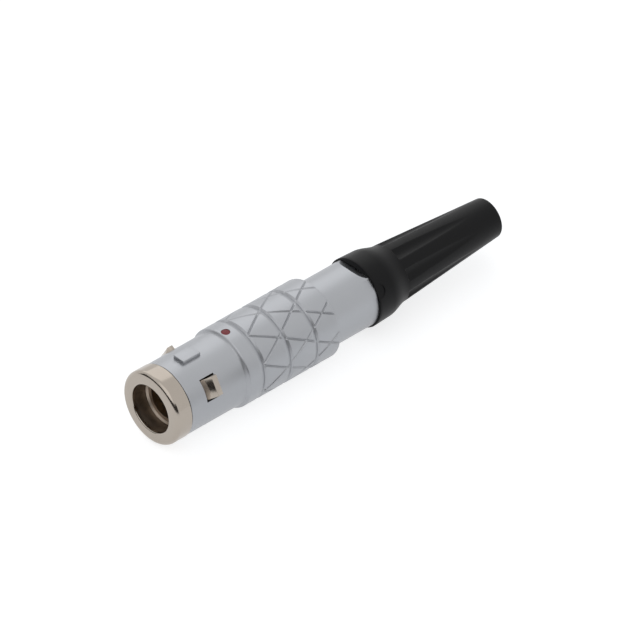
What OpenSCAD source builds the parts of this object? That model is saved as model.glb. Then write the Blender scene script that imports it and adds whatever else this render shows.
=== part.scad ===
// Push-pull circular plug, cable mounted. The plug's axis lies along X: the nose
// points to -X, the cable leaves at +X and the key is on top (+Z).
// Inside the modules a piece stands on its own axis Z, which counts millimetres
// behind the nose face, with the key at angle 0.

/* [Latch tube and nose] */
// Outside diameter of the latch tube, on which the release sleeve slides
tube_d = 15.2; // [15:0.02:15.4]
// Wall of the latch tube round the fingers
tube_wall = 1; // [0.9:0.02:1.1]
// Wall of the latch tube at its rear thread
thread_wall = 1.3; // [1.2:0.02:1.4]
// Length of the nose ring
nose_l = 4.38; // [4:0.02:4.8]
// Height of the nose ring above the front of the release sleeve
nose_lip = 0.16; // [0.16:0.01:0.25]
// Rounding of the nose ring's front edge
nose_round = 1.1; // [0.5:0.1:1.4]
// Width of the step between the mating bore and the collar behind it
socket_step = 0.44; // [0.3:0.02:0.6]
// Depth of the mating bore
socket_l = 4.1; // [3.6:0.1:4.4]
// Rounding of the mating bore's mouth
mouth_round = 0.35; // [0.2:0.05:0.5]

/* [Latch fingers] */
// Number of fingers round the plug, one of them opposite the key
finger_n = 3; // [3:1:3]
// Width of a finger and its pawl
finger_w = 4.66; // [4:0.02:4.9]
// Thickness of a finger
finger_t = 0.75; // [0.6:0.05:0.8]
// Length of a finger from its tip to its root
finger_l = 15.25; // [14:0.05:16]
// Distance of a finger's outside below the pawl's flat top
pawl_rise = 2.02; // [1.9:0.02:2.1]
// Length of the pawl's ramp
ramp_l = 2.32; // [2:0.02:2.5]
// Length of the pawl's flat top
pawl_top_l = 1.4; // [1.2:0.02:1.5]

/* [Release sleeve] */
// Wall of the sleeve's plain front
sleeve_wall = 1.14; // [1.1:0.02:1.4]
// Length of the sleeve's plain front
front_l = 16; // [15.5:0.1:16.5]
// Height of the grip above the plain front
grip_rise = 0.7; // [0.4:0.02:0.8]
// Length of the sloped step up to the grip
step_l = 0.7; // [0.4:0.1:1]
// Distance of the first ring groove's bottom behind the step
first_groove = 5.1; // [4.5:0.05:5.5]
// Number of ring grooves round the grip
ring_n = 3; // [2:1:3]
// Distance between the ring grooves
ring_pitch = 7.83; // [7.5:0.01:8]
// Length of the grip behind the bottom of its last ring groove
last_ring_l = 6.49; // [6:0.01:7]
// Depth of the grooves between the rings
ring_depth = 0.26; // [0.15:0.01:0.35]
// Length of the gentle side of a ring groove
ring_fall_l = 1.27; // [0.8:0.01:1.5]
// Length of the steep side of a ring groove
ring_rise_l = 0.88; // [0.5:0.01:1.2]
// Number of diagonal grooves of each hand
knurl_starts = 8; // [6:1:10]
// Length of one full turn of a diagonal groove
knurl_lead = 103.7; // [90:0.1:120]
// Distance behind the step where the diagonal grooves cross on the key's line
knurl_cross = 11.4; // [10:0.1:13]
// Width of a diagonal groove
knurl_w = 0.46; // [0.3:0.02:0.6]
// Depth of a diagonal groove
knurl_depth = 0.25; // [0.15:0.01:0.3]
// Width of the key
key_w = 3.3; // [3:0.02:3.6]
// Length of the key
key_l = 5.05; // [4.5:0.05:5.5]
// Height of the key above the sleeve
key_h = 0.78; // [0.5:0.02:0.9]
// Distance of the key behind the sleeve's front
key_back = 3.87; // [3.5:0.01:4.2]
// Distance of the latch windows behind the sleeve's front
window_back = 4.75; // [4.6:0.01:4.9]
// Gap at each side of a pawl in its window
window_gap = 0.35; // [0.25:0.01:0.4]
// Diameter of the red index dot
dot_d = 2.1; // [1.5:0.05:2.3]
// Depth of the dot's pocket
dot_depth = 0.3; // [0.2:0.05:0.5]
// Travel of the release sleeve
travel = 1.2; // [1.1:0.05:1.2]
// Distance of the retaining ring in front of the latch tube's rear end
ring_back = 8.7; // [8:0.1:9.2]
// Width of the retaining ring
ring_w = 0.9; // [0.7:0.05:1.1]

/* [Insert] */
// Inside diameter of the carrier's front
carrier_bore_d = 8.76; // [8.6:0.02:8.9]
// Wall of the insert carrier
carrier_wall = 0.79; // [0.7:0.01:0.85]
// Length of the carrier's rear flange
carrier_flange_l = 5; // [4:0.1:6]
// Length of the front insulator
insulator_l = 9.5; // [9:0.1:10]
// Distance of the insulator's face behind the nose face
insulator_x = 12; // [11:0.1:12.5]
// Diameter of a contact
contact_d = 1.3; // [1:0.05:1.4]
// Diameter of the circle of contacts
contact_circle_d = 5.2; // [5:0.05:5.4]
// Contacts on the circle, round the one in the middle
contact_ring_n = 6; // [6:1:6]
// Length of a contact that stands out of the insulator
contact_out_l = 4.6; // [3:0.1:5]
// Length of a contact's solder cup
cup_l = 3; // [2:0.1:3.4]

/* [Nut and cable clamp] */
// Height of the nut's body above the latch tube
nut_lip = 0.35; // [0.3:0.01:0.4]
// Length of the nut's body up to its rear shoulder
nut_body_l = 20.6; // [20:0.1:21]
// Length of the nut's thread
nut_thread_l = 8.4; // [8:0.1:8.5]
// Wall of the nut's threaded neck
neck_wall = 0.9; // [0.8:0.05:1]
// Depth of the wrench flats below the nut's outside
flats_depth = 1.4; // [1.2:0.02:1.6]
// Radius of the cutter that runs out of the flats
flats_cutter_r = 4.1; // [3.5:0.1:5]
// Step from the nut's body down to its spigot inside the bend relief
spigot_step = 0.75; // [0.7:0.02:0.85]
// Length of the nut's spigot
spigot_l = 5; // [4.5:0.1:5.2]
// Step of the nut's bore at its inner taper
taper_step = 1.05; // [0.9:0.05:1.1]
// Length of the nut's inner taper
taper_l = 5; // [4:0.1:5.5]
// Length of the collet in front of the taper
collet_l = 10.4; // [9.5:0.1:11]
// Length of the collet's solid front
collet_solid_l = 2.5; // [2:0.1:4]
// Wall of the collet
collet_wall = 1.4; // [1.2:0.05:1.5]
// Width of the collet's slots
collet_slot_w = 0.6; // [0.4:0.05:0.8]
// Number of slots in the collet
collet_slot_n = 6; // [4:1:8]
// Length of the sealing gasket
gasket_l = 3.6; // [3:0.1:4]
// Length of the earthing cone behind its flange
cone_l = 5.4; // [4.5:0.1:6]
// Thickness of the earthing cone's flange
cone_flange_l = 1.6; // [1.2:0.1:2]
// Wall of the earthing cone at its thin end
cone_wall = 0.4; // [0.3:0.05:0.6]

/* [Bend relief] */
// Wall of the bell at its rim
bell_wall = 0.41; // [0.35:0.01:0.6]
// Overlap of the bell over the nut's body
bell_overlap = 0.7; // [0.5:0.1:1]
// Taper of the bell over its straight length, on the diameter
bell_taper = 0.4; // [0.2:0.05:0.6]
// Length of the bell before its shoulder
bell_l = 4.3; // [4:0.1:4.5]
// Length of the rounded shoulder, up to the front of the flutes
shoulder_l = 6; // [5.5:0.1:7]
// Wall of the neck behind the shoulder, round the cable
neck_relief_wall = 3.19; // [3.1:0.01:3.3]
// Wall of the tail's end, round the cable
tail_wall = 1.05; // [0.95:0.05:1.25]
// Rounding of the tail's edge
tail_round = 0.5; // [0.2:0.05:0.6]
// Length of the fluted tail behind the shoulder
tail_l = 29.8; // [29:0.1:32]
// Bore for the cable
cable_d = 7.5; // [7:0.1:7.8]
// Number of flutes
flute_n = 8; // [6:1:8]
// Angle of the first flute from the key, towards -Y
flute_angle = 18.5; // [0:0.5:22.5]
// Radius of a flute's cross-section
flute_r = 2.35; // [2:0.05:2.6]
// Depth of a flute at its front end
flute_depth = 0.72; // [0.4:0.02:0.8]
// Length of a flute until it runs out
flute_l = 21.9; // [20:0.1:24]
// Diameter of the moulding mark on the bell
mark_d = 3.5; // [3:0.1:3.8]
// Depth of the moulding mark
mark_depth = 0.12; // [0.08:0.02:0.2]

/* [Hidden] */

$fn = 96;
eps = 0.01;             // overlap of cuts with the faces that they pass
slide_fit = 0.06;       // radial clearance of the release sleeve on the latch tube
nut_fit = 0.1;          // radial clearance of the release sleeve round the nut
seat_fit = 0.05;        // radial clearance between pieces that are seated
collar_fit = 0.23;      // radial clearance of the insert carrier in the latch tube
seam = 0.2;             // gap between the nose ring and the release sleeve
finger_fit = 0.1;       // clearance of a finger in its slot and under the sleeve
slot_gap = 0.3;         // gap at each side of a finger in its slot
pawl_fit = 0.02;        // gap between a pawl's ramp and the front of its window
pawl_back_gap = 0.11;   // gap between a pawl's back and the rear of its window
ring_stop_fit = 0.05;   // what is left of the sleeve's travel at the retaining ring
chamfer = 0.3;          // edge of the nut and of the grip's rear
web_l = 1.3;            // web of the latch tube behind the fingers
carrier_lip = 0.15;     // step in the insert carrier that the insulator rests on

// Diameters, from the latch tube outwards and from the insert outwards.
sleeve_bore_d = tube_d + 2 * slide_fit;
front_d = sleeve_bore_d + 2 * sleeve_wall;
nose_d = front_d + 2 * nose_lip;
grip_d = front_d + 2 * grip_rise;
nut_d = tube_d + 2 * nut_lip;
wide_bore_d = nut_d + 2 * nut_fit;
finger_room_d = tube_d - 2 * tube_wall;
finger_d = tube_d - 2 * finger_fit;
thread_d = tube_d - 2 * thread_wall;
nut_thread_d = thread_d - 2 * seat_fit;
nut_bore_d = nut_thread_d - 2 * neck_wall;
nut_outlet_d = nut_bore_d - 2 * taper_step;
spigot_d = nut_d - 2 * spigot_step;
flat_h = nut_d / 2 - flats_depth;
bell_bore_d = nut_d + 2 * seat_fit;
bell_d = bell_bore_d + 2 * bell_wall;
neck_d = cable_d + 2 * neck_relief_wall;
tail_d = cable_d + 2 * tail_wall;
insulator_d = carrier_bore_d + 2 * carrier_lip + 2 * seat_fit;
carrier_d = carrier_bore_d + 2 * carrier_wall;
collar_d = carrier_d + 2 * collar_fit;
socket_d = collar_d + 2 * socket_step;
collet_bore_d = nut_bore_d - 2 * collet_wall;
contact_collar_d = contact_d + 1;
ring_groove_depth = 0.4;
ring_d = wide_bore_d - 2 * nut_fit;

// Places, behind the nose face.
sleeve_x = nose_l + seam;
step_x = sleeve_x + front_l;
first_groove_x = step_x + first_groove;
grip_end_x = first_groove_x + (ring_n - 1) * ring_pitch + last_ring_l;
knurl_cross_x = step_x + knurl_cross;
window_x = sleeve_x + window_back;
window_w = finger_w + 2 * window_gap;
window_l = pawl_fit + ramp_l + pawl_top_l + pawl_back_gap;
finger_tip_x = window_x - 0.18;
finger_root_x = finger_tip_x + finger_l;
slot_w = finger_w + 2 * slot_gap;
collar_end_x = finger_tip_x - 0.35;
web_x = finger_root_x + 0.3;
thread_x = web_x + web_l;
carrier_end_x = thread_x + carrier_flange_l;
parting_x = insulator_x + insulator_l;
nut_front_x = carrier_end_x + cone_flange_l;
tube_l = nut_front_x + nut_thread_l;
ring_x = tube_l - ring_back;
sleeve_shoulder_x = ring_x - travel - ring_stop_fit;
cone_end_x = nut_front_x + cone_l;
collet_x = cone_end_x + gasket_l;
taper_x = collet_x + collet_l;
nut_shoulder_x = tube_l + nut_body_l;
nut_end_x = nut_shoulder_x + spigot_l;
bell_x = nut_shoulder_x - bell_overlap;
neck_x = bell_x + bell_l + shoulder_l;
plug_l = neck_x + tail_l;

pawl_h = finger_d / 2 + pawl_rise;
axis_h = max(grip_d / 2, pawl_h);   // the plug lies on its bottom pawl and its grip
collar_t = 0.8;                     // half the length of a contact's collar

// Turns a piece from its own axis to the plug's place.
module lying() {
    translate([-plug_l / 2, 0, axis_h]) rotate([0, 90, 0]) rotate([0, 0, 180]) children();
}

// Turns a profile of [radius, distance behind the nose face] points round the axis.
module turned(points) {
    rotate_extrude() polygon(points);
}

// A plain ring between two distances and two diameters.
module tube(x1, x2, outer, inner) {
    turned([[inner / 2, x1], [outer / 2, x1], [outer / 2, x2], [inner / 2, x2]]);
}

// Latch tube with the nose ring in front and three slots for the latch fingers.
module latch_sleeve() {
    nose_r = nose_d / 2;
    socket_r = socket_d / 2;
    edge = [for (a = [0:15:90]) [nose_r - nose_round * (1 - sin(a)), nose_round * (1 - cos(a))]];
    mouth = [for (a = [0:15:90])
        [socket_r + mouth_round * (1 - cos(a)), mouth_round * (1 - sin(a))]];
    color([0.78, 0.74, 0.7]) lying() difference() {
        turned(concat(edge, [
            [nose_r, nose_l], [tube_d / 2, nose_l],
            [tube_d / 2, ring_x], [tube_d / 2 - ring_groove_depth, ring_x],
            [tube_d / 2 - ring_groove_depth, ring_x + ring_w], [tube_d / 2, ring_x + ring_w],
            [tube_d / 2, tube_l], [thread_d / 2, tube_l],
            [thread_d / 2, thread_x], [collar_d / 2, thread_x],
            [collar_d / 2, web_x], [finger_room_d / 2, web_x],
            [finger_room_d / 2, collar_end_x], [collar_d / 2, collar_end_x],
            [collar_d / 2, socket_l + (socket_d - collar_d) / 2], [socket_r, socket_l]
        ], mouth));
        for (i = [0:finger_n - 1]) rotate([0, 0, 60 + 120 * i])
            translate([collar_d / 2, -slot_w / 2, finger_tip_x - finger_fit])
                cube([tube_d, slot_w, finger_l + 2 * finger_fit]);
    }
}

// One latch finger with its pawl, at an angle from the key.
module latch_finger(angle) {
    ramp_x = window_x + pawl_fit;
    top_x = ramp_x + ramp_l;
    root_r = (finger_d - finger_t) / 2;
    color([0.8, 0.76, 0.7]) lying() rotate([0, 0, angle]) union() {
        intersection() {
            tube(finger_tip_x, finger_root_x, finger_d, finger_d - 2 * finger_t);
            translate([0, -finger_w / 2, finger_tip_x]) cube([tube_d, finger_w, finger_l]);
        }
        // The pawl: a ramp that the window pushes down, a flat top and a square back.
        translate([0, finger_w / 2, 0]) rotate([90, 0, 0]) linear_extrude(finger_w) polygon([
            [root_r, ramp_x], [finger_d / 2, ramp_x], [pawl_h, top_x],
            [pawl_h, top_x + pawl_top_l], [root_r, top_x + pawl_top_l]]);
    }
}

// Cutter for the helical grooves of one hand, all round the grip. Grooves of both
// hands cross on the key's line at knurl_cross_x.
module knurl_grooves(hand) {
    from_x = first_groove_x - 0.1;
    run = grip_end_x - from_x + 1;
    over = 0.3;
    bottom = knurl_w / 4;
    // Across the plug a groove is wider than across itself, and wider still above the grip.
    width = knurl_w * sqrt(1 + pow(PI * grip_d / knurl_lead, 2));
    top = bottom + (width - bottom) * (1 + over / knurl_depth);
    rotate([0, 0, hand * 360 * (from_x - knurl_cross_x) / knurl_lead])
        translate([0, 0, from_x])
            linear_extrude(run, twist = -hand * 360 * run / knurl_lead, slices = 18, segments = 1)
                for (k = [0:knurl_starts - 1]) rotate(360 / knurl_starts * k) polygon([
                    [grip_d / 2 - knurl_depth, -bottom / 2], [grip_d / 2 - knurl_depth, bottom / 2],
                    [grip_d / 2 + over, top / 2], [grip_d / 2 + over, -top / 2]]);
}

// Release sleeve: front with key and windows, grip with rings and crossed grooves.
module release_sleeve() {
    grip_r = grip_d / 2;
    key_foot = sleeve_bore_d / 2 + sleeve_wall / 3;
    grooves = [for (k = [0:ring_n - 1]) let (low = first_groove_x + k * ring_pitch) each [
        [grip_r, low - ring_fall_l], [grip_r - ring_depth, low], [grip_r, low + ring_rise_l]]];
    color([0.67, 0.675, 0.7]) lying() difference() {
        union() {
            turned(concat([
                [sleeve_bore_d / 2, sleeve_x], [front_d / 2, sleeve_x], [front_d / 2, step_x],
                [grip_r, step_x + step_l]], grooves, [
                [grip_r, grip_end_x - chamfer], [grip_r - chamfer, grip_end_x],
                [wide_bore_d / 2, grip_end_x], [wide_bore_d / 2, sleeve_shoulder_x],
                [sleeve_bore_d / 2, sleeve_shoulder_x]]));
            translate([key_foot, -key_w / 2, sleeve_x + key_back])
                cube([front_d / 2 + key_h - key_foot, key_w, key_l]);
        }
        for (i = [0:finger_n - 1]) rotate([0, 0, 60 + 120 * i])
            translate([tube_d / 3, -window_w / 2, window_x])
                cube([tube_d, window_w, window_l]);
        for (hand = [-1, 1]) knurl_grooves(hand);
        dot_place() cylinder(d = dot_d, h = grip_rise + dot_depth);
    }
}

// Puts a round piece upright on the bottom of the index dot's pocket.
module dot_place() {
    translate([grip_d / 2 - dot_depth, 0, step_x + step_l + dot_d / 2 + 0.1])
        rotate([0, 90, 0]) children();
}

// Red index dot of paint, level with the grip.
module index_dot() {
    surface_r = sqrt(pow(grip_d / 2, 2) - pow(dot_d / 2, 2));
    color([0.6, 0.15, 0.18]) lying()
        dot_place() cylinder(d = dot_d - 2 * eps, h = surface_r - grip_d / 2 + dot_depth);
}

// Split spring ring on the latch tube that stops the release sleeve.
module retaining_ring() {
    gap = ring_d * 0.15;
    color([0.6, 0.6, 0.6]) lying() difference() {
        tube(ring_x, ring_x + ring_w, ring_d, tube_d - 2 * ring_groove_depth);
        translate([0, -gap / 2, ring_x - 1]) cube([tube_d, gap, ring_w + 2]);
    }
}

// Half of the insert carrier: the side is 1 towards -Y and -1 towards +Y.
module insert_carrier(side) {
    color([0.8, 0.76, 0.7]) lying() intersection() {
        turned([
            [carrier_bore_d / 2, socket_l + 0.3], [carrier_d / 2, socket_l + 0.3],
            [carrier_d / 2, thread_x], [nut_thread_d / 2, thread_x],
            [nut_thread_d / 2, carrier_end_x],
            [insulator_d / 2 + seat_fit, carrier_end_x],
            [insulator_d / 2 + seat_fit, insulator_x], [carrier_bore_d / 2, insulator_x]]);
        translate([-tube_d, side > 0 ? 0 : -tube_d, 0]) cube([2 * tube_d, tube_d, tube_l]);
    }
}

// Places a copy at each contact: the middle one first, then the circle.
module contact_place(i) {
    if (i == 0) children();
    else rotate([0, 0, 360 / contact_ring_n * (i - 1)])
        translate([contact_circle_d / 2, 0, 0]) children();
}

// Insulator of a given length, with the contacts' bores and a pocket for their
// collars at its far face.
module insulator(length) {
    difference() {
        cylinder(d = insulator_d, h = length);
        for (i = [0:contact_ring_n]) contact_place(i) {
            translate([0, 0, -eps]) cylinder(d = contact_d + seat_fit, h = length + 2 * eps);
            translate([0, 0, length - collar_t])
                cylinder(d = contact_collar_d + seat_fit, h = collar_t + eps);
        }
    }
}

// Front insulator: the contacts' tips stand out of it into the nose.
module insulator_front() {
    color([0.1, 0.1, 0.1]) lying() translate([0, 0, insulator_x]) insulator(insulator_l);
}

// Rear insulator, turned round so that its pockets meet the front one's.
module insulator_rear() {
    color([0.12, 0.12, 0.12]) lying() translate([0, 0, carrier_end_x]) mirror([0, 0, 1])
        insulator(carrier_end_x - parting_x);
}

// One contact: chamfered tip, pin, collar and solder cup.
module contact(i) {
    tip_x = insulator_x - contact_out_l;
    end_x = carrier_end_x + cup_l;
    r = contact_d / 2;
    cup_r = r * 0.7;
    color([0.85, 0.7, 0.35]) lying() contact_place(i) difference() {
        turned([
            [0, tip_x], [r * 0.6, tip_x], [r, tip_x + r], [r, parting_x - collar_t],
            [contact_collar_d / 2, parting_x - collar_t],
            [contact_collar_d / 2, parting_x + collar_t],
            [r, parting_x + collar_t], [r, end_x], [0, end_x]]);
        translate([0, 0, end_x - cup_l * 0.8]) cylinder(r = cup_r, h = cup_l);
    }
}

// Earthing cone that the nut presses on the insert carrier.
module earthing_cone() {
    bore_r = collet_bore_d / 2;
    color([0.7, 0.62, 0.4]) lying() turned([
        [bore_r, carrier_end_x], [nut_thread_d / 2, carrier_end_x],
        [nut_thread_d / 2, nut_front_x], [nut_bore_d / 2 - seat_fit, nut_front_x],
        [bore_r + cone_wall, cone_end_x], [bore_r, cone_end_x]]);
}

// Rubber gasket between the earthing cone and the collet.
module sealing_gasket() {
    color([0.15, 0.15, 0.15]) lying()
        tube(cone_end_x, collet_x, nut_bore_d - 2 * seat_fit, collet_bore_d);
}

// Slotted collet that closes on the cable in the nut's taper.
module collet() {
    end_x = taper_x + taper_l / 2;
    r = nut_bore_d / 2 - seat_fit;
    color([0.75, 0.68, 0.5]) lying() difference() {
        turned([
            [collet_bore_d / 2, collet_x], [r, collet_x], [r, taper_x],
            [r - taper_step / 2, end_x], [collet_bore_d / 2, end_x]]);
        for (i = [0:collet_slot_n - 1]) rotate([0, 0, 360 / collet_slot_n * (i + 0.5)])
            translate([0, -collet_slot_w / 2, collet_x + collet_solid_l])
                cube([nut_d, collet_slot_w, collet_l + taper_l]);
    }
}

// Collet nut: threaded neck, plain body, wrench flats and the spigot for the bend relief.
module collet_nut() {
    edge = chamfer / 2;
    color([0.67, 0.675, 0.7]) lying() difference() {
        turned([
            [nut_bore_d / 2, nut_front_x], [nut_thread_d / 2, nut_front_x],
            [nut_thread_d / 2, tube_l], [nut_d / 2 - chamfer, tube_l],
            [nut_d / 2, tube_l + chamfer], [nut_d / 2, nut_shoulder_x - edge],
            [nut_d / 2 - edge, nut_shoulder_x], [spigot_d / 2, nut_shoulder_x],
            [spigot_d / 2, nut_end_x], [nut_outlet_d / 2, nut_end_x],
            [nut_outlet_d / 2, taper_x + taper_l], [nut_bore_d / 2, taper_x]]);
        for (side = [0, 180]) rotate([0, 0, side]) {
            translate([flat_h, -nut_d, nut_shoulder_x])
                cube([nut_d, 2 * nut_d, spigot_l + eps]);
            translate([flat_h + flats_cutter_r, 0, nut_shoulder_x]) rotate([90, 0, 0])
                cylinder(r = flats_cutter_r, h = 2 * nut_d, center = true);
        }
    }
}

// Radius of the bend relief's cone at a distance behind the nose face.
function cone_r(x) =
    (neck_d + (tail_d - neck_d) * (x - neck_x) / (plug_l - tail_round - neck_x)) / 2;

// Rubber bend relief: bell over the nut, rounded shoulder and fluted tail.
module bend_relief() {
    shoulder_r = (bell_d - bell_taper) / 2;
    drop = shoulder_r - neck_d / 2;
    shoulder = [for (t = [0:0.1:1])
        [shoulder_r - drop * (1 - cos(180 * t)) / 2, bell_x + bell_l + shoulder_l * t]];
    tail_edge = [for (a = [0:30:90])
        [tail_d / 2 - tail_round * (1 - cos(a)), plug_l - tail_round * (1 - sin(a))]];
    // Bottom of a flute at its front and where it runs out.
    front_r = cone_r(neck_x) - flute_depth;
    end_r = cone_r(neck_x + flute_l);
    color([0.13, 0.13, 0.14]) lying() {
        difference() {
            turned(concat([[cable_d / 2, bell_x], [bell_d / 2 - 0.1, bell_x],
                [bell_d / 2, bell_x + 0.1]], shoulder, [[cable_d / 2, neck_x]]));
            // Room for the nut's rear, with flats that keep the bend relief from turning.
            intersection() {
                union() {
                    translate([0, 0, bell_x - eps])
                        cylinder(d = bell_bore_d, h = bell_overlap + eps);
                    translate([0, 0, nut_shoulder_x - eps])
                        cylinder(d = spigot_d + 2 * seat_fit, h = spigot_l + eps);
                }
                translate([-flat_h - seat_fit, -nut_d, bell_x - eps])
                    cube([2 * (flat_h + seat_fit), 2 * nut_d, bell_overlap + spigot_l + 1]);
            }
            rotate([0, 0, 60]) translate([bell_d / 2 - mark_depth, 0, bell_x + mark_d / 7])
                rotate([0, 90, 0]) cylinder(d = mark_d, h = 1);
        }
        difference() {
            turned(concat([[cable_d / 2, neck_x], [neck_d / 2, neck_x]], tail_edge,
                [[cable_d / 2, plug_l]]));
            for (k = [0:flute_n - 1]) rotate([0, 0, flute_angle + 360 / flute_n * k])
                translate([front_r + flute_r, 0, neck_x])
                    rotate([0, -atan((front_r - end_r) / flute_l), 0])
                        translate([0, 0, -1]) cylinder(r = flute_r, h = flute_l * 1.3);
        }
    }
}

latch_sleeve();
latch_finger(-60);  // latch_finger_left
latch_finger(60);  // latch_finger_right
latch_finger(180);  // latch_finger_bottom
release_sleeve();
index_dot();
retaining_ring();
insert_carrier(-1);  // insert_carrier_left
insert_carrier(1);  // insert_carrier_right
insulator_front();
insulator_rear();
contact(0);  // contact_1
contact(1);  // contact_2
contact(2);  // contact_3
contact(3);  // contact_4
contact(4);  // contact_5
contact(5);  // contact_6
contact(6);  // contact_7
earthing_cone();
sealing_gasket();
collet();
collet_nut();
bend_relief();
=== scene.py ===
import math
import bpy
from mathutils import Matrix, Vector


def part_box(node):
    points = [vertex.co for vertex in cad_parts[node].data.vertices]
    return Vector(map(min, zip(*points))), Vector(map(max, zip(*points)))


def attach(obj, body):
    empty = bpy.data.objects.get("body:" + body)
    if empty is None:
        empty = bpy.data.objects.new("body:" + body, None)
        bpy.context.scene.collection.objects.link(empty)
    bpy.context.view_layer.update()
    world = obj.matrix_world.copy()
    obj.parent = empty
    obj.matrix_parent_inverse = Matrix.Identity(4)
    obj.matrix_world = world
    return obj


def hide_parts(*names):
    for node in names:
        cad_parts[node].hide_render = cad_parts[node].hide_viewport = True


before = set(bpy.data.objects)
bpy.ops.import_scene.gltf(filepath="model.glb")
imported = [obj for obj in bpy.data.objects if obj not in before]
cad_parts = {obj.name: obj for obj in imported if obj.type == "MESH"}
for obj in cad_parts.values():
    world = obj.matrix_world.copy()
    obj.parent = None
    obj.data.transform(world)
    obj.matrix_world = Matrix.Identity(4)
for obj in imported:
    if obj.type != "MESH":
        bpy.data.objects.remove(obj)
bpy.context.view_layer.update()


# ---- Floor, lamps and camera ----
# A pale table top that melts into a white room. Two broad soft lamps hang over it, and
# the camera looks down at the plug's nose from far away.
class Wire:
    """One output socket of a node tree. Arithmetic on it adds Math nodes."""

    def __init__(self, tree, socket=None):
        self.tree, self.socket = tree, socket

    def node(self, kind, settings=None, values=None, out=0):
        """A new node of any other kind, and its output."""
        made = self.tree.nodes.new(kind)
        for key, value in (settings or {}).items():
            setattr(made, key, value)
        for key, value in (values or {}).items():
            if isinstance(value, Wire):
                self.tree.links.new(value.socket, made.inputs[key])
            else:
                made.inputs[key].default_value = value
        return Wire(self.tree, made.outputs[out] if made.outputs else None)

    def maths(self, operation, first, second=0.0):
        return self.node("ShaderNodeMath", {"operation": operation}, {0: first, 1: second})

    def clamped(self, low=0.0, high=1.0):
        return self.node("ShaderNodeClamp", None, {0: self, 1: low, 2: high})

    def mixed(self, first, second):
        """Colour first where this wire is 0, second where it is 1."""
        return self.node("ShaderNodeMix", {"data_type": "RGBA"}, {0: self, 6: first, 7: second}, 2)

    def __add__(self, other): return self.maths("ADD", self, other)
    def __radd__(self, other): return self.maths("ADD", other, self)
    def __sub__(self, other): return self.maths("SUBTRACT", self, other)
    def __rsub__(self, other): return self.maths("SUBTRACT", other, self)
    def __mul__(self, other): return self.maths("MULTIPLY", self, other)
    def __rmul__(self, other): return self.maths("MULTIPLY", other, self)
    def __truediv__(self, other): return self.maths("DIVIDE", self, other)
    def __rtruediv__(self, other): return self.maths("DIVIDE", other, self)


def plain_tree(owner):
    """The empty node tree of a material or world."""
    owner.use_nodes = True
    owner.node_tree.nodes.clear()
    return Wire(owner.node_tree)


def seen_directly(tree):
    """1 for what the camera sees straight on, in a mirror or through glass."""
    rays = [tree.node("ShaderNodeLightPath", out=name)
            for name in ("Is Camera Ray", "Is Glossy Ray", "Is Transmission Ray")]
    return (rays[0] + rays[1] + rays[2]).clamped()


bpy.ops.object.select_all(action="DESELECT")
bpy.ops.mesh.primitive_plane_add(size=6)
table = bpy.context.object
table.name = "table_top"
table_paint = bpy.data.materials.new("table_paint")
tree = plain_tree(table_paint)
lit = tree.node("ShaderNodeBsdfDiffuse", None, {"Color": (0.55, 0.55, 0.55, 1)})
glow = tree.node("ShaderNodeEmission", None, {
    "Color": (1, 1, 1, 1), "Strength": seen_directly(tree) * 0.74})
both = tree.node("ShaderNodeAddShader", None, {0: lit, 1: glow})
tree.node("ShaderNodeOutputMaterial", None, {"Surface": both})
table.data.materials.append(table_paint)

room = bpy.data.worlds.new("white_room")
bpy.context.scene.world = room
tree = plain_tree(room)
pale = tree.node("ShaderNodeBackground", None, {"Color": (1, 1, 1, 1), "Strength": 1.0})
dim = tree.node("ShaderNodeBackground", None, {"Color": (0.93, 0.96, 1, 1), "Strength": 0.55})
shown = tree.node("ShaderNodeMixShader", None, {0: seen_directly(tree), 1: dim, 2: pale})
tree.node("ShaderNodeOutputWorld", None, {"Surface": shown})

for name, place, size, power in (
        ("lamp_over_nose", (-0.5, -0.35, 0.75), 0.9, 1.0),
        ("lamp_behind", (0.35, 0.6, 0.7), 0.9, 1.2)):
    bpy.ops.object.light_add(type="AREA", location=place)
    lamp = bpy.context.object
    lamp.name = name
    lamp.data.size = size
    lamp.data.energy = power
    lamp.rotation_euler = Vector(place).to_track_quat("Z", "Y").to_euler()

# A dark screen on the nose's side, which shows only as a reflection in the metal.
screen_r, screen_h, screen_ends = 1.3, 0.6, (-75, 120)
bpy.ops.object.select_all(action="DESELECT")
bpy.ops.mesh.primitive_cylinder_add(vertices=64, radius=screen_r, depth=screen_h, end_fill_type="NOTHING",
                                    location=(0, 0, screen_h / 2 + 0.01))
screen = bpy.context.object
screen.name = "dark_screen"
bpy.ops.object.mode_set(mode="EDIT")
for turn in screen_ends:
    bpy.ops.mesh.select_all(action="SELECT")
    way = math.radians(turn + (90 if turn > 0 else -90))
    bpy.ops.mesh.bisect(plane_co=(0, 0, 0), plane_no=(-math.cos(way), -math.sin(way), 0),
                        clear_outer=True)
bpy.ops.object.mode_set(mode="OBJECT")
screen_cloth = bpy.data.materials.new("screen_cloth")
tree = plain_tree(screen_cloth)
lit = tree.node("ShaderNodeBsdfDiffuse", None, {"Color": (0.1, 0.09, 0.08, 1)})
tree.node("ShaderNodeOutputMaterial", None, {"Surface": lit})
screen.data.materials.append(screen_cloth)
screen.visible_camera = screen.visible_diffuse = screen.visible_shadow = False

# The plug lies along X with its nose at -X and its key on top, its axis this high.
axis = (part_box("collet_nut")[0].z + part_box("collet_nut")[1].z) / 2

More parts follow.
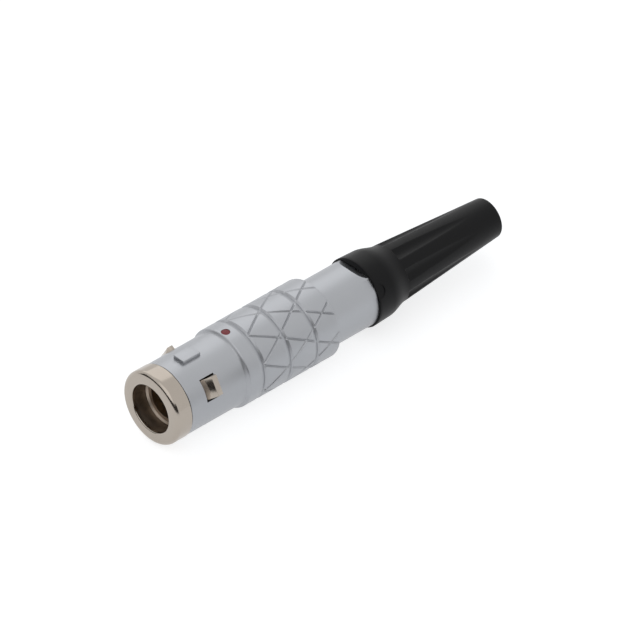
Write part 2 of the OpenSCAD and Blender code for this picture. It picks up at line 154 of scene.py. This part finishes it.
azimuth, elevation = math.radians(-42.9), math.radians(37.7)
camera_away, camera_low = 4.5, 0.0016
back = Vector((math.sin(azimuth) * math.cos(elevation),
               -math.cos(azimuth) * math.cos(elevation), math.sin(elevation)))
right = Vector((math.cos(azimuth), math.sin(azimuth), 0))
up = back.cross(right)
bpy.ops.object.camera_add()
camera = bpy.context.object
camera.data.sensor_width = 36
camera.data.lens = 1157
camera.data.clip_start = 0.01
camera.data.clip_end = 50
camera.matrix_world = (Matrix.Translation(Vector((0, 0, axis)) - up * camera_low + back * camera_away)
                       @ Matrix((right, up, back)).transposed().to_4x4())
bpy.context.scene.camera = camera
bpy.context.scene.view_settings.view_transform = "Standard"


# ---- Latch tube with the nose ring ----
# The nose ring and the long tube behind it are turned from one bar of brass and plated
# with nickel. Three slots are milled through the tube for the latch fingers.
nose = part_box("latch_sleeve")[0].x
mm = 0.001


def at(place, radius=0.0, angle=0.0):
    """The point so many millimetres behind the nose face and from the axis, at an angle
    in degrees from the key that is positive towards -Y."""
    turn = math.radians(angle)
    return Vector((nose + place * mm, -radius * mm * math.sin(turn),
                   axis + radius * mm * math.cos(turn)))


def edit_all():
    """Edit mode with the whole mesh selected."""
    bpy.ops.object.mode_set(mode="EDIT")
    bpy.ops.mesh.select_all(action="SELECT")


def turned(name, outline, steps):
    """A solid of revolution from a closed outline of (place, radius) points."""
    bpy.ops.object.select_all(action="DESELECT")
    bpy.ops.mesh.primitive_plane_add(size=mm)
    piece = bpy.context.object
    piece.name = name
    edit_all()
    bpy.ops.mesh.merge(type="CENTER")
    bpy.ops.transform.translate(value=at(*outline[0]))
    for start, end in zip(outline, outline[1:] + outline[:1]):
        bpy.ops.mesh.extrude_region_move(TRANSFORM_OT_translate={"value": at(*end) - at(*start)})
    bpy.ops.mesh.select_all(action="SELECT")
    bpy.ops.mesh.remove_doubles(threshold=mm / 1000)
    bpy.ops.mesh.spin(steps=steps, angle=math.tau, center=at(0), axis=(1, 0, 0))
    bpy.ops.mesh.select_all(action="SELECT")
    bpy.ops.mesh.remove_doubles(threshold=mm / 1000)
    bpy.ops.mesh.normals_make_consistent(inside=False)
    bpy.ops.object.mode_set(mode="OBJECT")
    return piece


def block(start, end, width, low, high, angle):
    """A box along the plug at an angle from the key, from one radius to another."""
    bpy.ops.object.select_all(action="DESELECT")
    bpy.ops.mesh.primitive_cube_add(size=mm)
    piece = bpy.context.object
    edit_all()
    bpy.ops.transform.resize(value=(end - start, width, high - low))
    bpy.ops.transform.translate(value=at((start + end) / 2, (low + high) / 2))
    bpy.ops.object.mode_set(mode="OBJECT")
    piece.data.transform(Matrix.Translation(at(0)) @ Matrix.Rotation(math.radians(angle), 4, "X")
                         @ Matrix.Translation(-at(0)))
    return piece


def combine(piece, other, operation):
    """Cuts or joins another mesh with the piece and throws the other away."""
    change = piece.modifiers.new(operation, "BOOLEAN")
    change.operation, change.solver, change.object = operation, "EXACT", other
    bpy.context.view_layer.objects.active = piece
    bpy.ops.object.modifier_apply(modifier=change.name)
    bpy.data.objects.remove(other)


def smoothed(piece, degrees=30):
    """Rounds the shading over edges that turn by less than the given angle."""
    bpy.ops.object.select_all(action="DESELECT")
    piece.select_set(True)
    bpy.context.view_layer.objects.active = piece
    bpy.ops.object.shade_smooth_by_angle(angle=math.radians(degrees))


def declare(piece, material, body, slot, *nodes):
    """Gives a finished piece its material and its body, and hides the nodes it stands in for. The slot is
    not used.
    """
    piece.data.materials.clear()
    piece.data.materials.append(material)
    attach(piece, body)
    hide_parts(*nodes)


def metal(name, colour, dark, rough, grain, tooth, edge, inside_shade_colour=None, gap_shade=1.3):
    """Plated metal: two close tones in faint clouds, a fine tooth, rubbed spots and
    edges softened by a small radius in millimetres. Narrow gaps and grooves get
    painted shade, and the inside of the latch tube may get a darker tone as painted
    shade, with a rougher finish."""
    made = bpy.data.materials.new(name)
    tree = plain_tree(made)
    place = tree.node("ShaderNodeTexCoord", out="Object")
    clouds = tree.node("ShaderNodeTexNoise", None, {"Vector": place, "Scale": 160.0, "Detail": 3.0})
    fine = tree.node("ShaderNodeTexNoise", None, {"Vector": place, "Scale": grain, "Detail": 2.0})
    rubs = tree.node("ShaderNodeTexNoise", None, {"Vector": place, "Scale": 700.0, "Detail": 5.0})
    rubbed = ((rubs - 0.6) * 6.0).clamped()
    tone = (clouds * 0.7 + fine * 0.3).clamped().mixed(dark, colour)
    # Painted shade: where ambient occlusion finds surfaces within 0.9 mm, the tone is darkened towards
    # near-black, so gaps and grooves look shaded.
    open_to_air = tree.node("ShaderNodeAmbientOcclusion", {"samples": 6}, {"Distance": 0.9 * mm}, "AO")
    tone = ((0.85 - open_to_air) * gap_shade).clamped().mixed(tone, (0.08, 0.07, 0.065, 1))
    # Painted shade inside the latch tube: behind the nose face and inside the rim radius the tone turns
    # darker, shading the gap under the sleeve and the bore; the roughness there also rises, for a duller
    # finish.
    if inside_shade_colour:
        face_depth, edge_r = 0.3, 8.7
        along = tree.node("ShaderNodeSeparateXYZ", None, {0: place}, "X")
        round_axis = tree.node("ShaderNodeVectorMath", {"operation": "DISTANCE"}, {
            0: tree.node("ShaderNodeVectorMath", {"operation": "MULTIPLY"}, {0: place, 1: (0, 1, 1)}),
            1: (0, 0, axis)}, "Value")
        behind_face = ((along - nose) / mm - face_depth).clamped()
        inside = (behind_face * (edge_r - round_axis / mm).clamped(0, 0.2)) * 5
        tone = inside.mixed(tone, inside_shade_colour)
        rough = rough + inside * 0.22
    soft = tree.node("ShaderNodeBevel", {"samples": 4}, {"Radius": edge * mm})
    skin = tree.node("ShaderNodeBump", None, {
        "Strength": 0.5, "Distance": tooth * mm, "Height": fine, "Normal": soft})
    body = tree.node("ShaderNodeBsdfPrincipled", None, {
        "Base Color": tone, "Metallic": 1.0, "Normal": skin,
        "Roughness": (rough - rubbed * 0.06 + clouds * 0.06).clamped(0.05, 1.0)})
    tree.node("ShaderNodeOutputMaterial", None, {"Surface": body})
    return made


# The nickel's last colour is the darker tone painted inside the latch tube as shade.
nickel = metal("nickel_plate", (0.425, 0.38, 0.335, 1), (0.37, 0.33, 0.285, 1), 0.14, 5000.0, 0.003,
               0.05, (0.37, 0.31, 0.255, 1))

nose_l, nose_r, nose_round = 4.38, 8.96, 1.1
bore_l, bore_r, mouth_round = 4.1, 5.84, 0.35
tube_l, tube_r, thread_bore_r, room_r, collar_r = 41.0, 7.6, 6.3, 6.6, 5.4
ring_groove, ring_groove_r = (32.3, 33.2), 7.2


def quarter(step):
    """Sines and cosines of a quarter turn in even steps of degrees."""
    return [(math.sin(math.radians(turn)), math.cos(math.radians(turn))) for turn in range(0, 91, step)]


nose_edge = [(nose_round * (1 - cos), nose_r - nose_round * (1 - sin)) for sin, cos in quarter(10)]
mouth = [(mouth_round * (1 - sin), bore_r + mouth_round * (1 - cos)) for sin, cos in quarter(15)]
latch_tube = turned("latch_tube", nose_edge + [
    (nose_l - 0.06, nose_r), (nose_l, nose_r - 0.06), (nose_l, tube_r), (ring_groove[0], tube_r),
    (ring_groove[0], ring_groove_r), (ring_groove[1], ring_groove_r), (ring_groove[1], tube_r),
    (tube_l, tube_r), (tube_l, thread_bore_r), (26.0, thread_bore_r), (26.0, collar_r),
    (24.7, collar_r), (24.7, room_r), (8.8, room_r), (8.8, collar_r), (4.54, collar_r),
    (bore_l, bore_r)] + mouth, 144)
finger_angles = (-60, 60, 180)
slot_front, slot_rear, slot_w = 9.05, 24.5, 5.26
for angle in finger_angles:
    combine(latch_tube, block(slot_front, slot_rear, slot_w, collar_r, 9, angle), "DIFFERENCE")
smoothed(latch_tube)
declare(latch_tube, nickel, "plug_core", "nickel", "latch_sleeve")


# ---- Latch fingers ----
# Three spring fingers with a ramped pawl each, milled and plated with the tube. The
# pawls stand out through the sleeve's windows.
def merged_copy(node, name):
    """A piece from a node's solid, with its loose triangles sewn together."""
    piece = bpy.data.objects.new(name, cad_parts[node].data.copy())
    bpy.context.scene.collection.objects.link(piece)
    bpy.ops.object.select_all(action="DESELECT")
    piece.select_set(True)
    bpy.context.view_layer.objects.active = piece
    edit_all()
    bpy.ops.mesh.remove_doubles(threshold=mm / 1000)
    bpy.ops.mesh.dissolve_limited(angle_limit=math.radians(0.5))
    bpy.ops.object.mode_set(mode="OBJECT")
    return piece


def bevelled(piece, width, segments=2, degrees=30):
    """Rounds every edge sharper than the given angle."""
    round_off = piece.modifiers.new("round_off", "BEVEL")
    round_off.width, round_off.segments = width * mm, segments
    round_off.limit_method, round_off.angle_limit = "ANGLE", math.radians(degrees)
    round_off.harden_normals = False
    bpy.context.view_layer.objects.active = piece
    bpy.ops.object.modifier_apply(modifier=round_off.name)


for side in ("left", "right", "bottom"):
    finger = merged_copy("latch_finger_" + side, "spring_finger_" + side)
    bevelled(finger, 0.06)
    smoothed(finger, 40)
    declare(finger, nickel, "latch_finger_" + side, "nickel", "latch_finger_" + side)


# ---- Release sleeve ----
# Turned brass sleeve with a satin chrome finish. Ring grooves are turned round the grip,
# and crossed spiral grooves are milled over them. The key stands on the plain front.
# The satin chrome takes a lighter painted shade in its gaps and grooves than the other metals.
satin = metal("satin_chrome", (0.405, 0.415, 0.435, 1), (0.365, 0.375, 0.395, 1), 0.36, 9000.0, 0.004, 0.05,
              gap_shade=0.5)
sleeve_front, sleeve_r, sleeve_bore_r = 4.58, 8.8, 7.66
grip_r, grip_end, grip_bore_r, bore_step = 9.5, 47.83, 8.05, 31.05
ring_lows, ring_deep, fall, rise = (25.68, 33.51, 41.34), 0.38, 1.1, 0.42
spiral_lead, spiral_cross, spiral_w, spiral_deep, spiral_turn = 103.7, 31.98, 0.5, 0.25, 360 / 8


def ring_drop(place):
    """How far the ring grooves lie below the grip."""
    return max([0] + [ring_deep * min(1 + (place - low) / fall, 1 - (place - low) / rise)
                      for low in ring_lows])


def spiral_drop(place, angle):
    """How deep the spiral grooves of both hands are at a point of the grip."""
    if place < ring_lows[0] - 0.1:
        return 0
    across = math.cos(math.atan(math.tau * grip_r / spiral_lead))
    deepest = 0
    for hand in (-1, 1):
        start = hand * 360 * (place - spiral_cross) / spiral_lead
        off = (angle - start + spiral_turn / 2) % spiral_turn - spiral_turn / 2
        away = abs(math.radians(off)) * grip_r * across / (spiral_w / 2)
        if away < 1:
            deepest = max(deepest, spiral_deep * min(1, (1 - away) * 1.6))
    return deepest


corners = [low + step for low in ring_lows for step in (-fall, 0, rise)]
grip_places = sorted(corners + [place for place in (21.4 + i * 0.148 for i in range(177))
                                if min(abs(place - corner) for corner in corners) > 0.05])
sleeve_outline = [
    (sleeve_front, sleeve_bore_r + 0.06), (sleeve_front, 8.68), (4.61, 8.75), (4.70, sleeve_r),
    (20.46, sleeve_r), (20.6, 8.83), (20.8, 8.98), (21.0, 9.22), (21.16, 9.41), (21.28, 9.48)]
sleeve_outline += [(place, grip_r) for place in grip_places]
sleeve_outline += [
    (grip_end - 0.13, 9.46), (grip_end, 9.3), (grip_end, grip_bore_r), (bore_step, grip_bore_r),
    (bore_step, sleeve_bore_r), (sleeve_front + 0.06, sleeve_bore_r)]
sleeve = turned("grip_sleeve", sleeve_outline, 440)
for vertex in sleeve.data.vertices:
    place = (vertex.co.x - nose) / mm
    out = Vector((0, vertex.co.y, vertex.co.z - axis)) / mm
    if place > 21.3 and out.length > 9.2:
        low = min(out.length, grip_r - ring_drop(place))
        low = min(low, grip_r - spiral_drop(place, math.degrees(math.atan2(-out.y, out.z))))
        vertex.co = at(place) + out.normalized() * low * mm
key = block(8.45, 13.5, 3.3, 8.2, 9.58, 0)
bevelled(key, 0.22, 3)
combine(sleeve, key, "UNION")
# The windows reach a little in front of the pawls' ramps, to stay clear of them at full slide.
window_front, window_rear, window_w = 9.16, 13.18, 5.36
for angle in finger_angles:
    combine(sleeve, block(window_front, window_rear, window_w, 5.4, 12, angle), "DIFFERENCE")
dot_place, pocket_r = 22.43, 1.05
bpy.ops.object.select_all(action="DESELECT")
bpy.ops.mesh.primitive_cylinder_add(vertices=48, radius=pocket_r * mm, depth=2 * mm,
                                    location=at(dot_place, grip_r + 0.7))
pocket = bpy.context.object
bpy.ops.object.transform_apply(location=True)
combine(sleeve, pocket, "DIFFERENCE")
smoothed(sleeve, 22)
declare(sleeve, satin, "release_sleeve", "satin_chrome", "release_sleeve")


# ---- Index dot ----
# A drop of red enamel in a round pocket on the grip, which shows where the key is.
bpy.ops.object.select_all(action="DESELECT")
bpy.ops.mesh.primitive_cylinder_add(vertices=48, radius=(pocket_r - 0.05) * mm, depth=0.2 * mm,
                                    location=at(dot_place, 9.32))
dot = bpy.context.object
dot.name = "enamel_dot"
bpy.ops.object.transform_apply(location=True)
bevelled(dot, 0.05, 3)
smoothed(dot)
enamel = bpy.data.materials.new("red_enamel")
tree = plain_tree(enamel)
place = tree.node("ShaderNodeTexCoord", out="Object")
mottle = tree.node("ShaderNodeTexNoise", None, {"Vector": place, "Scale": 2500.0, "Detail": 3.0})
skin = tree.node("ShaderNodeBump", None, {"Strength": 0.3, "Distance": 0.02 * mm, "Height": mottle})
body = tree.node("ShaderNodeBsdfPrincipled", None, {
    "Base Color": mottle.mixed((0.17, 0.011, 0.016, 1), (0.24, 0.018, 0.027, 1)), "Specular IOR Level": 0.3,
    "Roughness": 0.3 + mottle * 0.15, "Normal": skin})
tree.node("ShaderNodeOutputMaterial", None, {"Surface": body})
declare(dot, enamel, "release_sleeve", "red_dot", "index_dot")


# ---- Insert carrier halves ----
# Two half shells of nickel-plated brass, milled and laid round the insulators. The nut
# clamps them in the latch tube.
def dressed(material, *nodes):
    """A solid that stays as it is takes a material of its own."""
    for node in nodes:
        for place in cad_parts[node].material_slots:
            place.material = material


dressed(nickel, "insert_carrier_left", "insert_carrier_right")


# ---- Insulators ----
# Two black mouldings, one behind the other in the carrier. Only the front one can be
# seen, deep in the nose.
def moulded(name, colour, dark, rough, grain, tooth, edge, gloss=0.5):
    """Moulded plastic or rubber: matt, with a fine grain and paler rubbed spots."""
    made = bpy.data.materials.new(name)
    tree = plain_tree(made)
    place = tree.node("ShaderNodeTexCoord", out="Object")
    clouds = tree.node("ShaderNodeTexNoise", None, {"Vector": place, "Scale": 220.0, "Detail": 4.0})
    fine = tree.node("ShaderNodeTexNoise", None, {"Vector": place, "Scale": grain, "Detail": 3.0})
    dust = ((tree.node("ShaderNodeTexNoise", None, {
        "Vector": place, "Scale": 1500.0, "Detail": 6.0}) - 0.62) * 5.0).clamped()
    tone = (clouds * 0.6 + dust * 0.4).clamped().mixed(dark, colour)
    soft = tree.node("ShaderNodeBevel", {"samples": 4}, {"Radius": edge * mm})
    skin = tree.node("ShaderNodeBump", None, {
        "Strength": 0.5, "Distance": tooth * mm, "Height": fine, "Normal": soft})
    body = tree.node("ShaderNodeBsdfPrincipled", None, {
        "Base Color": tone, "Normal": skin, "Specular IOR Level": gloss,
        "Roughness": (rough + clouds * 0.12 - dust * 0.08).clamped(0.1, 1.0)})
    tree.node("ShaderNodeOutputMaterial", None, {"Surface": body})
    return made


insulator_plastic = moulded("insulator_plastic", (0.035, 0.03, 0.027, 1), (0.02, 0.018, 0.016, 1),
                            0.45, 4000.0, 0.01, 0.05)
dressed(insulator_plastic, "insulator_front", "insulator_rear")


# ---- Contacts ----
# Seven turned brass contacts, plated with gold and held by the insulators. Their solder
# cups open to the rear.
gold = metal("gold_plate", (0.80, 0.58, 0.24, 1), (0.70, 0.49, 0.19, 1), 0.2, 6000.0, 0.002, 0.03)
dressed(gold, *["contact_%d" % number for number in range(1, 8)])


# ---- Retaining ring ----
# A split ring of spring steel. It snaps into the latch tube's groove and stops the sleeve.
spring_steel = metal("spring_steel", (0.50, 0.49, 0.48, 1), (0.40, 0.39, 0.38, 1),
                     0.28, 6000.0, 0.003, 0.04)
dressed(spring_steel, "retaining_ring")


# ---- Earthing cone ----
# A cone turned from brass and plated with nickel. It takes the cable's screen behind the
# insert.
dressed(nickel, "earthing_cone")


# ---- Sealing gasket ----
# A short black rubber tube between the cone and the collet, moulded and slipped on the
# cable.
gasket_rubber = moulded("gasket_rubber", (0.03, 0.03, 0.03, 1), (0.015, 0.015, 0.015, 1),
                        0.6, 3500.0, 0.01, 0.05)
dressed(gasket_rubber, "sealing_gasket")


# ---- Collet ----
# A collet turned from brass, slotted and plated with nickel. The nut closes it on the
# cable.
dressed(nickel, "collet")


# ---- Collet nut ----
# Turned brass nut in the same satin chrome. Its neck screws into the latch tube, and two
# wrench flats run out under the bend relief.
nut_front, nut_shoulder, nut_end = 32.6, 61.6, 66.6
nut_r, thread_r, spigot_r, nut_bore_r, outlet_r = 7.95, 6.25, 7.2, 5.35, 4.3
flat_h, cutter_r = 6.55, 4.1
nut = turned("clamp_nut", [
    (nut_front, nut_bore_r), (nut_front, thread_r), (tube_l, thread_r), (tube_l, nut_r - 0.15),
    (tube_l + 0.04, nut_r - 0.06), (tube_l + 0.15, nut_r), (nut_shoulder - 0.15, nut_r),
    (nut_shoulder - 0.04, nut_r - 0.04), (nut_shoulder, nut_r - 0.15), (nut_shoulder, spigot_r),
    (nut_end, spigot_r), (nut_end, outlet_r), (57.0, outlet_r), (52.0, nut_bore_r)], 144)
for angle in (0, 180):
    bpy.ops.object.select_all(action="DESELECT")
    bpy.ops.mesh.primitive_cylinder_add(vertices=192, radius=cutter_r * mm, depth=30 * mm,
                                        rotation=(math.pi / 2, 0, 0),
                                        location=at(nut_shoulder, flat_h + cutter_r, angle))
    cutter = bpy.context.object
    bpy.ops.object.transform_apply(location=True, rotation=True)
    combine(nut, cutter, "DIFFERENCE")
    combine(nut, block(nut_shoulder, nut_end + 0.4, 30, flat_h, 12, angle), "DIFFERENCE")
smoothed(nut, 25)
declare(nut, satin, "plug_core", "satin_chrome", "collet_nut")


# ---- Bend relief ----
# One moulding of black rubber. Its bell grips the nut's rear, and eight flutes in the
# tapered tail let it bend with the cable.
rubber = moulded("relief_rubber", (0.006, 0.006, 0.0065, 1), (0.004, 0.004, 0.0045, 1),
                 0.36, 2600.0, 0.012, 0.12, 0.15)
rim, bell_end, neck, tail_end, tail_round = 60.9, 65.2, 71.2, 101.0, 0.5
rim_r, bell_r, neck_r, tail_r, cable_r = 8.4, 8.21, 6.94, 4.8, 3.75
bell_step, bell_fall = 0.52, 0.0237
flute_r, flute_low, flute_end, flute_start, flute_turn = 2.35, 6.22, 93.1, 18.5, 360 / 8


def cone_r(place):
    """Radius of the tail's cone."""
    return neck_r + (tail_r - neck_r) * (place - neck) / (tail_end - tail_round - neck)


def flute_drop(place, angle):
    """How far a flute lies below the cone, with its edges rounded."""
    if place < neck:
        return 0
    off = math.radians((angle - flute_start + flute_turn / 2) % flute_turn - flute_turn / 2)
    bottom = flute_low + (cone_r(flute_end) - flute_low) * (place - neck) / (flute_end - neck)
    middle = bottom + flute_r
    inside = flute_r ** 2 - (middle * math.sin(off)) ** 2
    if inside <= 0:
        return 0
    deep = cone_r(place) - (middle * math.cos(off) - math.sqrt(inside))
    soft = 0.05
    if abs(deep) < soft:
        return (deep + soft) ** 2 / (4 * soft)
    return max(0, deep)


bell = [(rim, rim_r - 0.14), (rim + 0.04, rim_r - 0.04)]
bell += [(rim + 0.14 + i * bell_step, rim_r - i * bell_fall) for i in range(8)]
shoulder = [(bell_end + (neck - bell_end) * i / 20,
             bell_r - (bell_r - neck_r) * (1 - math.cos(math.pi * i / 20)) / 2) for i in range(21)]
tail = [(place, cone_r(place)) for place in [71.24, 71.3] + [71.4 + i * 0.45 for i in range(65)]]
tail_edge = [(tail_end - tail_round * (1 - sin), tail_r - tail_round * (1 - cos))
             for sin, cos in quarter(15)]
inner = [(tail_end, cable_r + 0.15), (tail_end - 0.15, cable_r), (66.0, cable_r), (66.0, 3.9),
         (64.0, 3.9), (rim, 7.0)]
relief = turned("bend_relief_boot", bell + shoulder + tail + tail_edge + inner, 240)
for vertex in relief.data.vertices:
    place = (vertex.co.x - nose) / mm
    out = Vector((0, vertex.co.y, vertex.co.z - axis)) / mm
    if place > neck and out.length > 4.4:
        low = out.length - flute_drop(place, math.degrees(math.atan2(-out.y, out.z)))
        vertex.co = at(place) + out.normalized() * low * mm
nut_room = 0.05
room_in_bell = turned("room_in_bell", [
    (60, 3), (60, nut_r + nut_room), (nut_shoulder, nut_r + nut_room),
    (nut_shoulder, spigot_r + nut_room), (nut_end, spigot_r + nut_room), (nut_end, 3)], 144)
edit_all()
for way in (-1, 1):
    bpy.ops.mesh.select_all(action="SELECT")
    bpy.ops.mesh.bisect(plane_co=at(0, way * (flat_h + nut_room)), plane_no=(0, 0, way),
                        clear_outer=True, use_fill=True)
bpy.ops.object.mode_set(mode="OBJECT")
combine(relief, room_in_bell, "DIFFERENCE")
mark_r, mark_place, mark_floor, mark_angle = 1.75, 61.4, 8.13, 60
bpy.ops.object.select_all(action="DESELECT")
bpy.ops.mesh.primitive_cylinder_add(vertices=48, radius=mark_r * mm, depth=2 * mm,
                                    rotation=(math.radians(mark_angle), 0, 0),
                                    location=at(mark_place, mark_floor + 1, mark_angle))
mark = bpy.context.object
bpy.ops.object.transform_apply(location=True, rotation=True)
combine(relief, mark, "DIFFERENCE")
smoothed(relief, 35)
declare(relief, rubber, "plug_core", "relief_rubber", "bend_relief")
